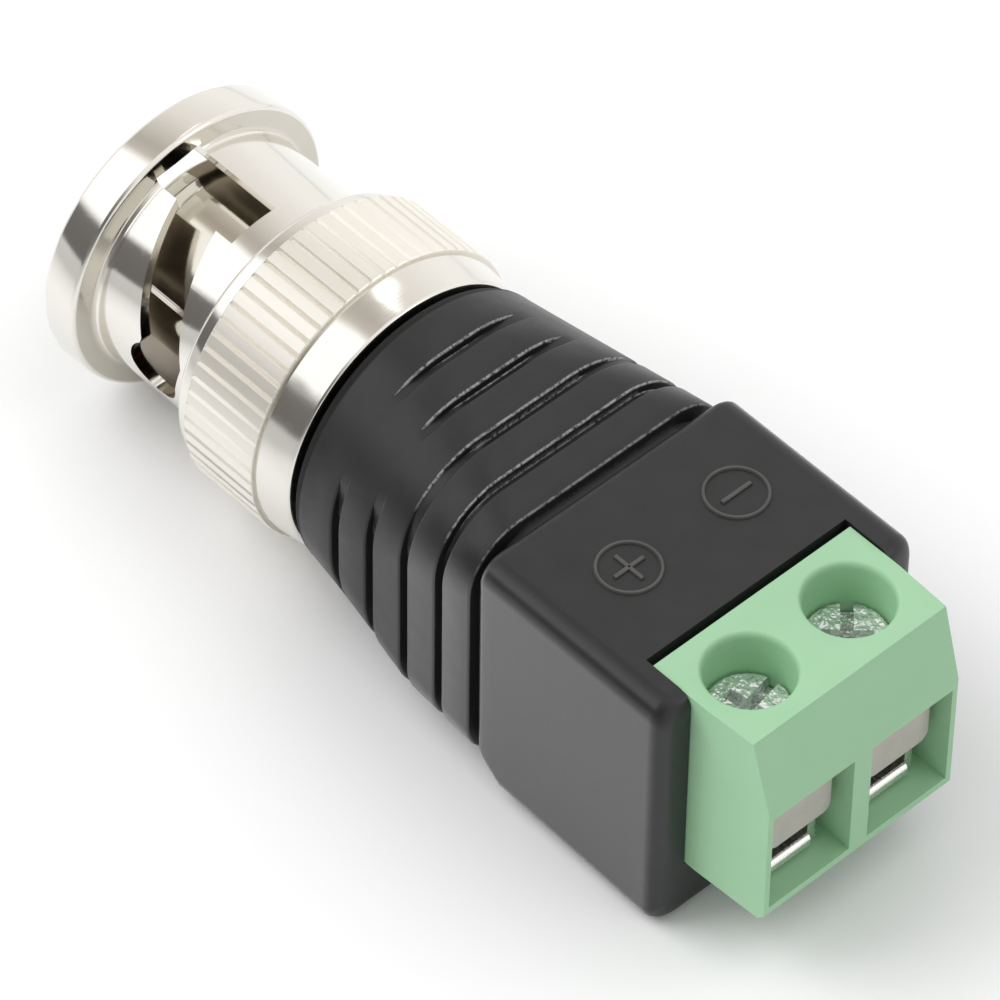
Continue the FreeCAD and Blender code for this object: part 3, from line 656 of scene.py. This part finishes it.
print("nut turned,", len(crests), "points on its teeth")

# %% [markdown]
# ## The bayonet ways
# A lug of the jack goes straight in under the flange, then runs back along a helix to a round rest, which
# lies a little forward of the helix's end, so that the spring holds the lug in it. A run of the way is one
# small face spun about the axis while it also moves along it, which is what dvec is for. The second way is
# the same set of cutters, half a turn on.

# %% Bayonet ways
WAY_IN, WAY_OUT = 4.30, 5.60
LUG_W = 2.30
HELIX_END, ENTRY_ANGLE = 8.0, 80.5
END_X, START_X = -5.68, -3.75
ENTRY_BACK = -6.15
REST_X, REST_ANGLE, REST_R = -5.20, -6.0, 1.30


def about_axis(point, degrees):
    """A point turned about the plug's axis."""
    return Matrix.Rotation(math.radians(degrees), 3, "X") @ Vector(point)


def helix_tool(turn, low, high):
    """The lug's section, swept between two places of the way; each is (x, degrees)."""
    bm = bmesh.new()
    corners = [(low[0] + side * LUG_W / 2, radius, 0) for side, radius in
               ((-1, WAY_IN), (1, WAY_IN), (1, WAY_OUT), (-1, WAY_OUT))]
    face = bm.faces.new([bm.verts.new(about_axis(c, turn + low[1])) for c in corners])
    steps = math.ceil((high[1] - low[1]) / 1.5)
    bmesh.ops.spin(bm, geom=[face], cent=(0, 0, 0), axis=(1, 0, 0), steps=steps,
                   dvec=((high[0] - low[0]) / steps, 0, 0), angle=math.radians(high[1] - low[1]))
    return new_object("helix tool", bm)


ways = []
for turn in (0, 180):
    ways.append(box_tool((ENTRY_BACK, 1.75), (WAY_IN, WAY_OUT), (-LUG_W / 2, LUG_W / 2),
                         turn=turn + ENTRY_ANGLE))
    ways.append(helix_tool(turn, (END_X, HELIX_END), (START_X, ENTRY_ANGLE)))
    ways.append(helix_tool(turn, (REST_X - 0.15, REST_ANGLE), (END_X, HELIX_END + 0.5)))
    for x, angle, radius in ((REST_X, REST_ANGLE, REST_R), (START_X, ENTRY_ANGLE, LUG_W / 2)):
        ways.append(round_tool(radius, about_axis((x, WAY_IN, 0), turn + angle),
                               about_axis((x, WAY_OUT, 0), turn + angle)))
carve(nut, ways)
hand_over(nut, nickel, "nut", "nickel", "coupling_nut")

# %% [markdown]
# ## Inside the mouth
# A jack's shell slides over the sprung contact, which is a tube with four slits, a bead at its tip and a
# long waist behind the bead. The white core stands behind it with a deep cone, and the pin's tip is rounded
# so that it finds its socket. The gasket is the soft ring that the jack's mouth lands on.

# %% Contact, core, pin and gasket
WAIST_R = 3.85
CONTACT_BACK, CONTACT_TIP = -12.80, -1.20
SLIT_BACK, SLIT_W, SLIT_ANGLE = -7.50, 0.30, 20
contact = new_object("sprung_contact", turned(
    [(CONTACT_BACK, CONTACT_BORE), (CONTACT_BACK, CONTACT_R), (-9.30, CONTACT_R), (-9.00, WAIST_R),
     (-2.25, WAIST_R), (-1.95, CONTACT_R), (CONTACT_TIP, CONTACT_R), (CONTACT_TIP, CONTACT_BORE)],
    192, rounded=[(0.14, (3, 4, 5)), (0.18, (6,)), (0.10, (7,))]))
carve(contact, [box_tool((SLIT_BACK, 0), (-4.5, 4.5), (-SLIT_W / 2, SLIT_W / 2), turn=angle)
                for angle in (SLIT_ANGLE, SLIT_ANGLE + 90)])
hand_over(contact, nickel, "adapter", "nickel", "outer_contact")

core = new_object("white_core", turned(
    [(-17.00, 1.02), (-17.00, 3.50), (-7.10, 3.50), (-6.30, 2.70), (-6.30, 0.92), (-8.30, 0.92),
     (-8.30, 1.02)], 128, rounded=[(0.15, (2, 3)), (0.05, (4,))]))
hand_over(core, white, "adapter", "white_plastic", "insulator")

PIN_R = 0.685
outline = [(-19.20, 0.42), (-19.20, 1.00), (-8.32, 1.00), (-8.32, 0.90), (-6.35, 0.90), (-6.35, PIN_R),
           (-2.30, PIN_R), (-1.90, 0.22), (-1.90, 0.001), (-18.00, 0.001), (-18.00, 0.42)]
pin = new_object("gilt_pin", turned(outline, 96, rounded=[(0.30, (6,)), (0.14, (7,)), (0.04, (4,))]))
hand_over(pin, gold, "adapter", "gold_brass", "centre_pin")

gasket = new_object("mouth_gasket", turned(
    [(-11.20, 4.10), (-11.20, 4.82), (-10.55, 4.82), (-10.55, 4.10)], 128, rounded=[(0.14, (2, 3))]))
hand_over(gasket, rubber, "adapter", "gasket_rubber", "gasket")

# %% [markdown]
# ## The moulded body
# The body begins as a circle behind the nut and ends as a square block, and five grooves cross the part in
# between. Each section is the same ring of points: a rounded rectangle whose corners are large enough at
# the front to make a circle. So the skin is one circle that is extruded from section to section, and each
# new ring is moved onto its own section. The lower corners turn square sooner than the upper ones, so they
# have a radius of their own. A groove is a few sections whose points sink towards a plain straight-sided
# core, so it runs out by itself where the round part is already inside that core.

# %% Sections of the body
CORNER_STEPS = 18


def section(half_w, top, bottom, radius, low_radius=None):
    """Points (y, z) round a rounded rectangle, the same number for every size; bottom is negative."""
    points = []
    for index, (side, level) in enumerate(((1, top), (-1, top), (-1, bottom), (1, bottom))):
        corner = low_radius if low_radius and level < 0 else radius
        centre_y = side * (half_w - corner)
        centre_z = level - math.copysign(corner, level)
        for step in range(CORNER_STEPS + 1):
            angle = math.pi / 2 * (index + step / CORNER_STEPS)
            points.append((centre_y + corner * math.cos(angle), centre_z + corner * math.sin(angle)))
    return points


def along(stops, share):
    """A value read from (share, value) stops, in a straight line between two of them."""
    for (low, first), (high, second) in zip(stops, stops[1:]):
        if share <= high:
            return first + (second - first) * max(0.0, share - low) / (high - low)
    return stops[-1][1]


def reach(y, z, half_w, top, bottom, radius):
    """How far a rounded rectangle reaches from its middle, as a share of the way to a point."""
    low, high = 0.0, 2.0
    for _ in range(26):
        share = (low + high) / 2
        a, b = abs(y) * share, z * share
        limit = top if b > 0 else -bottom
        over_y, over_z = a - (half_w - radius), abs(b) - (limit - radius)
        past = max(over_y, over_z) if min(over_y, over_z) <= 0 else math.hypot(over_y, over_z)
        inside = past <= radius
        low, high = (share, high) if inside else (low, share)
    return low


def skin(stations):
    """A closed skin through (x, points) stations: one ring is extruded and moved onto each in turn."""
    bm = bmesh.new()
    place = bm.verts.layers.int.new("place")
    ring = bmesh.ops.create_circle(bm, segments=len(stations[0][1]), radius=1)["verts"]
    for number, vert in enumerate(ring):
        vert[place] = number
    edges = bm.edges[:]
    for count, (x, points) in enumerate(stations):
        if count:
            made = bmesh.ops.extrude_edge_only(bm, edges=edges)["geom"]
            ring = [part for part in made if isinstance(part, bmesh.types.BMVert)]
            fresh = set(ring)
            edges = [edge for vert in ring for edge in vert.link_edges if edge.other_vert(vert) in fresh]
            edges = list(set(edges))
        for vert in ring:
            vert.co = (x, *points[vert[place]])
    bmesh.ops.holes_fill(bm, edges=[edge for edge in bm.edges if edge.is_boundary])
    return bm


print("sections of", 4 * (CORNER_STEPS + 1), "points")

# %% Body skin
BODY_FRONT, LIP_BACK, NOSE_BACK, BODY_BACK = -14.40, -15.10, BLOCK_FRONT, -34.95
GROOVES, GROOVE_PITCH, GROOVE_W = 5, 1.95, 0.42
CORE_CORNER = 2.8
TOP, BOTTOM, BACK_BOTTOM, HALF_W = 5.75, -6.44, -6.86, 6.55
COLLAR_R = 6.45
LIP_W, LIP_H = 0.66, 0.50
SIDE_DEPTH, TOP_DEPTH = 0.50, 0.42
LOW_CORNERS = [(0, COLLAR_R - 0.001), (0.16, 5.65), (0.335, 4.65), (0.48, 3.30), (0.58, 2.85), (1, 2.20)]
NOSE_ROUND, BACK_ROUND = 0.45, 0.70


def quarter(steps):
    """Sine and cosine at each step of a quarter turn."""
    angles = [math.pi / 2 * step / steps for step in range(steps + 1)]
    return [(math.sin(angle), math.cos(angle)) for angle in angles]


def nose_at(x):
    """The nose's own section at a place along it, without any groove."""
    share = (LIP_BACK - x) / (LIP_BACK - NOSE_BACK)
    return section(along([(0, COLLAR_R), (1, HALF_W - 0.05)], share),
                   along([(0, COLLAR_R), (1, TOP)], share), along([(0, -COLLAR_R), (1, BOTTOM)], share),
                   along([(0, COLLAR_R - 0.001), (1, 2.3)], share), along(LOW_CORNERS, share))


def sunk(x, middle, depth):
    """The nose's section with its points sunk by up to depth towards the groove's straight-sided core."""
    share = (LIP_BACK - middle) / (LIP_BACK - NOSE_BACK)
    half_w = along([(0, COLLAR_R), (1, HALF_W)], share) - SIDE_DEPTH
    top = along([(0, COLLAR_R), (1, TOP)], share) - TOP_DEPTH
    bottom = along([(0, -COLLAR_R), (1, BOTTOM)], share) + TOP_DEPTH
    points = []
    for y, z in nose_at(x):
        length = math.hypot(y, z)
        sink = min(depth, max(0.0, length * (1 - reach(y, z, half_w, top, bottom, CORE_CORNER))))
        points.append((y * (1 - sink / length), z * (1 - sink / length)))
    return points


stations = []
for sine, cosine in quarter(8):
    radius = COLLAR_R - LIP_H * (1 - sine)
    x = BODY_FRONT - LIP_W * (1 - cosine)
    stations.append((x, section(radius, radius, -radius, radius - 0.001)))
stations += [(LIP_BACK, nose_at(LIP_BACK)), (-15.90, nose_at(-15.90))]
half = GROOVE_W / 2
lip = [(-0.11, 0.0), (-0.055, 0.016), (-0.014, 0.058), (0.003, 0.13), (0.012, 0.40), (0.06, 0.80)]
for number in reversed(range(GROOVES)):
    middle = NOSE_BACK + half + number * GROOVE_PITCH
    for offset, depth in lip:
        stations.append((middle + half - offset, sunk(middle + half - offset, middle, depth)))
    if number:
        for offset, depth in reversed(lip):
            stations.append((middle - half + offset, sunk(middle - half + offset, middle, depth)))
stations.append((NOSE_BACK + 0.04, sunk(NOSE_BACK + 0.04, middle, 0.8)))
stations.append((NOSE_BACK, sunk(NOSE_BACK, middle, 0.8)))


def block_at(x, inset=0.0):
    """The block's section: its underside is drafted, and its lower corners are full near the nose."""
    share = (NOSE_BACK - x) / (NOSE_BACK - BODY_BACK)
    low = along([(0, 2.20), (0.135, 0.95), (1, 0.95)], share)
    bottom = along([(0, BOTTOM), (1, BACK_BOTTOM)], share)
    return section(HALF_W - inset, TOP - inset, bottom + inset, 0.95, low)


for sine, cosine in quarter(6):
    x = NOSE_BACK - NOSE_ROUND * (1 - cosine)
    stations.append((x, block_at(x, NOSE_ROUND * (1 - sine))))
stations += [(x, block_at(x)) for x in (-25.85, -26.30, -26.80)]
for sine, cosine in quarter(8):
    x = BODY_BACK + BACK_ROUND * (1 - sine)
    stations.append((x, block_at(x, BACK_ROUND * (1 - cosine))))
body = new_object("ribbed_body", skin(stations))
print("body skin through", len(stations), "sections")

# %% [markdown]
# ## Pockets in the body
# The plug's body is moulded in at the front, the wires run through a room behind it, and the terminal block
# stands in a pocket at the back, open at the top behind a straight edge. All of it is hollow in the real
# one, so each is a cutter: a turned one for the plug, a rounded prism for the room and two plain boxes.

# %% Body pockets
plug_tool = new_object("plug tool", turned(
    [(-13.0, 0.001), (-13.0, 4.50), (-15.20, 4.50), (-15.20, 5.20), (-16.20, 5.20), (-16.20, 4.50),
     (-17.60, 4.50), (-17.60, 0.001)], 96))
room_tool = new_object("room tool", skin([(x, section(4.80, 4.10, -3.20, 2.6)) for x in (-17.20, -30.85)]))
POCKET_HALF, POCKET_BOTTOM = 5.10, -3.90
pocket_tools = [box_tool((-38.96, front), (-POCKET_HALF, POCKET_HALF), (POCKET_BOTTOM, top))
                for front, top in ((-30.80, 4.35), (-32.55, 9.0))]
carve(body, [plug_tool, room_tool, *pocket_tools])
hand_over(body, black, "adapter", "black_plastic", "moulded_body", sharp=38)

# %% [markdown]
# ## Polarity marks
# The mould has two rings engraved in it, with a plus and a minus, so they stand up from the body as thin
# rounded ridges. A ring is a small half-round section spun about an upright axis, and a bar is a bevelled
# box. They catch the light because their sides are rounded, and their finish is painted paler as well, a
# painted highlight.

# %% Polarity marks
MARK_X, PLUS_Y, MINUS_Y = -28.90, 2.5, -3.0


def ridge_ring(bm, y):
    """A rounded ring that stands on the body's top."""
    profile = [(1.16, -0.06), (1.33, -0.06), (1.33, 0.04), (1.29, 0.10), (1.20, 0.10), (1.16, 0.04)]
    corners = [bm.verts.new((MARK_X + radius, y, TOP + height)) for radius, height in profile]
    edges = [bm.edges.new(pair) for pair in zip(corners, corners[1:] + corners[:1])]
    bmesh.ops.spin(bm, geom=corners + edges, cent=(MARK_X, y, 0), axis=(0, 0, 1), dvec=(0, 0, 0),
                   angle=2 * math.pi, steps=72, use_merge=True)


def ridge_bar(bm, y, length_x, length_y):
    """A bevelled bar in the middle of a ring."""
    made = bmesh.ops.create_cube(bm, size=1)["verts"]
    bmesh.ops.scale(bm, vec=(length_x, length_y, 0.16), verts=made)
    bmesh.ops.translate(bm, vec=(MARK_X, y, TOP + 0.02), verts=made)
    rim = {edge for vert in made if vert.co.z > TOP for edge in vert.link_edges}
    rim = [edge for edge in rim if all(vert.co.z > TOP for vert in edge.verts)]
    bmesh.ops.bevel(bm, geom=rim, affect="EDGES", offset=0.045, segments=3, profile=0.5, material=-1)


bm = bmesh.new()
for y in (PLUS_Y, MINUS_Y):
    ridge_ring(bm, y)
    ridge_bar(bm, y, 0.18, 1.5)
ridge_bar(bm, PLUS_Y, 1.5, 0.17)
marks = new_object("polarity_marks", bm)
# The marks' finish is painted paler, a painted highlight.
hand_over(marks, highlit, "adapter", "black_plastic", sharp=50)

# %% [markdown]
# ## The green housing
# The housing is one outline, drawn in the plane of the plug's axis and drawn out sideways. Its back end is
# a little narrower, so the solid is split at the start of that taper and the points behind it move in.
# Two screw wells and two wire entries are cut, and then every sharp edge is rounded a little, because a
# moulded edge is never sharp and a rounded one gives the thin light line that the photograph shows.

# %% Green housing
HOUSE_FRONT, HOUSE_BACK, NOTCH_X = -30.85, -38.96, -32.85
HOUSE_HALF, HOUSE_TOP, HOUSE_BOTTOM = 5.05, 5.62, -3.85
TAPER_X, TAPER = -35.50, 0.17
SCREW_X, PITCH = -35.38, 5.08
WELL_R, WELL_EDGE_W, WELL_EDGE_H = 1.75, 0.20, 0.35
outline = [(HOUSE_FRONT, HOUSE_BOTTOM), (HOUSE_FRONT, 4.30), (NOTCH_X, 4.30), (NOTCH_X, HOUSE_TOP),
           (-38.01, HOUSE_TOP), (HOUSE_BACK, 2.39), (HOUSE_BACK, HOUSE_BOTTOM + 0.3),
           (HOUSE_BACK + 0.3, HOUSE_BOTTOM)]
bm = bmesh.new()
face = bm.faces.new([bm.verts.new((x, -HOUSE_HALF, z)) for x, z in outline])
grown = bmesh.ops.extrude_face_region(bm, geom=[face])["geom"]
grown = [part for part in grown if isinstance(part, bmesh.types.BMVert)]
bmesh.ops.translate(bm, vec=(0, 2 * HOUSE_HALF, 0), verts=grown)
bmesh.ops.bisect_plane(bm, geom=bm.verts[:] + bm.edges[:] + bm.faces[:], plane_co=(TAPER_X, 0, 0),
                       plane_no=(1, 0, 0), dist=0.0001)
for vert in bm.verts:
    share = max(0.0, TAPER_X - vert.co.x) / (TAPER_X - HOUSE_BACK)
    vert.co.y *= 1 - TAPER / HOUSE_HALF * share
housing = new_object("green_housing", bm)


def well_tool(y):
    """A stepped round cutter: the screw's hole, its well, and the well's rounded rim."""
    rim = [(HOUSE_TOP - WELL_EDGE_H * (1 - sine), WELL_R + WELL_EDGE_W * (1 - cosine))
           for sine, cosine in quarter(6)]
    outline = [(1.80, 0.001), (1.80, 1.07), (2.40, 1.07), (2.40, WELL_R), *rim,
               (8.0, WELL_R + WELL_EDGE_W), (8.0, 0.001)]
    made = new_object("well tool", turned(outline, 128))
    made.data.transform(Matrix.Translation((SCREW_X, y, 0)) @ Matrix.Rotation(-math.pi / 2, 4, "Y"))
    return made


ENTRY_HALF, ENTRY_Z = 2.08, (-3.20, 1.90)
STRIP_SLOT_HALF, STRIP_SLOT_Z = 0.92, (-0.97, -0.43)
tools = []
for y in (PITCH / 2, -PITCH / 2):
    tools += [box_tool((-40, -31.95), (y - ENTRY_HALF, y + ENTRY_HALF), ENTRY_Z),
              box_tool((-31.96, -30.0), (y - STRIP_SLOT_HALF, y + STRIP_SLOT_HALF), STRIP_SLOT_Z),
              well_tool(y)]
carve(housing, tools)
soften(housing, 0.07, angle=28)
hand_over(housing, green, "adapter", "green_plastic", "terminal_housing", sharp=0)

# %% [markdown]
# ## Screws
# Each screw has a flat cheese head with a long slot and a shorter cross, so that either driver fits. The
# two stand at different angles, as they were left by a driver. The slots are cut with boxes, and the bevel
# that follows gives their lips the bright lines that make the screw read from above.

# %% Screws
HEAD_R, HEAD_TOP = 1.68, 3.60
SLOTS = ((1.80, 0.25, 0.65), (0.25, 1.0, 0.9), (1.0, 0.24, 0.9))


def screw(name, y, turn, node, body):
    """A head with its slots, and the plain shank below it."""
    bm = bmesh.new()
    bmesh.ops.create_cone(bm, cap_ends=True, segments=96, radius1=HEAD_R, radius2=HEAD_R, depth=1.2)
    top = [edge for edge in bm.edges if all(vert.co.z > 0.5 for vert in edge.verts)]
    bmesh.ops.bevel(bm, geom=top, affect="EDGES", offset=0.2, segments=5, profile=0.5, material=-1)
    bmesh.ops.translate(bm, vec=(SCREW_X, y, 3.0), verts=bm.verts)
    made = new_object(name, bm)
    carve(made, [round_tool(1.0, (SCREW_X, y, -0.40), (SCREW_X, y, 2.5), segments=64)], "UNION")
    tools = []
    stands = Matrix.Translation((SCREW_X, y, 0)) @ Matrix.Rotation(math.radians(turn), 4, "Z")
    for half_x, half_y, depth in SLOTS:
        tool = box_tool((-half_x, half_x), (-half_y, half_y), (HEAD_TOP - depth, HEAD_TOP + 0.20))
        tool.data.transform(stands)
        tools.append(tool)
    carve(made, tools)
    soften(made, 0.05, segments=2)
    hand_over(made, zinc, body, "zinc_steel", node, sharp=0)


screw("positive_clamping_screw", PITCH / 2, 100, "positive_screw", "positive_clamp_screw")
screw("negative_clamping_screw", -PITCH / 2, 136, "negative_screw", "negative_clamp_screw")

# %% [markdown]
# ## Cages and strips
# A cage is a folded loop of sheet that the screw draws up, and its lower leg is the jaw that shows as a
# bright bar in the wire entry. The strip runs through it and turns up at the entry as a dull grey plate
# with two rounded lower corners.

# %% Cages and strips
CAGE_X, CAGE_Z, CAGE_HALF = (-37.75, -33.75), (-3.0, 0.35), 1.45
CAGE_IN_Z, CAGE_IN_HALF = (-2.5, -0.2), 1.05


def cage(name, y, node, body):
    """A folded loop round the strip, and the jaw plate that stands out of its lower leg."""
    made = box_tool(CAGE_X, (y - CAGE_HALF, y + CAGE_HALF), CAGE_Z)
    made.name = name
    carve(made, [box_tool((-38.5, -33.0), (y - CAGE_IN_HALF, y + CAGE_IN_HALF), CAGE_IN_Z),
                 round_tool(1.05, (SCREW_X, y, -0.3), (SCREW_X, y, 1.0), segments=64)])
    bm = bmesh.new()
    plate = bmesh.ops.create_cube(bm, size=1)["verts"]
    bmesh.ops.scale(bm, vec=(4.2, 2.1, 0.5), verts=plate)
    bmesh.ops.translate(bm, vec=(-35.85, y, -2.75), verts=plate)
    edge = [edge for edge in bm.edges if all(vert.co.x < -37.9 and vert.co.z > -2.6 for vert in edge.verts)]
    bmesh.ops.bevel(bm, geom=edge, affect="EDGES", offset=0.25, segments=5, profile=0.5, material=-1)
    carve(made, [new_object("jaw tool", bm)], "UNION")
    soften(made, 0.05, angle=50)
    hand_over(made, steel, body, "zinc_steel", node, sharp=0)


def strip(name, y, node):
    """The upright plate with its rounded lower corners, and the flat strip behind it."""
    bm = bmesh.new()
    made = bmesh.ops.create_cube(bm, size=1)["verts"]
    bmesh.ops.scale(bm, vec=(0.5, 3.2, 2.83), verts=made)
    bmesh.ops.translate(bm, vec=(-38.10, y, 0.465), verts=made)
    low = [edge for edge in bm.edges if all(vert.co.z < 0 for vert in edge.verts)
           and abs(edge.verts[0].co.x - edge.verts[1].co.x) > 0.1]
    bmesh.ops.bevel(bm, geom=low, affect="EDGES", offset=0.45, segments=6, profile=0.5, material=-1)
    plate = new_object(name, bm)
    carve(plate, [box_tool((-38.0, -28.60), (y - 0.9, y + 0.9), (-0.95, -0.45))], "UNION")
    soften(plate, 0.05)
    hand_over(plate, tin, "adapter", "tinned_brass", node, sharp=0)


for sign, side in (("positive", 1), ("negative", -1)):
    cage(sign + "_jaw_loop", side * PITCH / 2, sign + "_cage", sign + "_jaw")
    strip(sign + "_contact_strip", side * PITCH / 2, sign + "_strip")

# %% [markdown]
# ## Solids that stay as they are
# The washers, the open ring, the plug's turned body and the leads are closed in, and their solids are
# already right. They only need their finishes.

# %% Finishes of the solids that stay
for name, finish in (("plug_body", nickel), ("nut_ring", steel), ("thrust_washer", steel),
                     ("wave_washer", steel), ("centre_lead", wire), ("ground_lead", wire),
                     ("lead_sleeve", sleeving)):
    nodes[name].data.materials.clear()
    nodes[name].data.materials.append(finish)
    print(name, "is", finish.name)
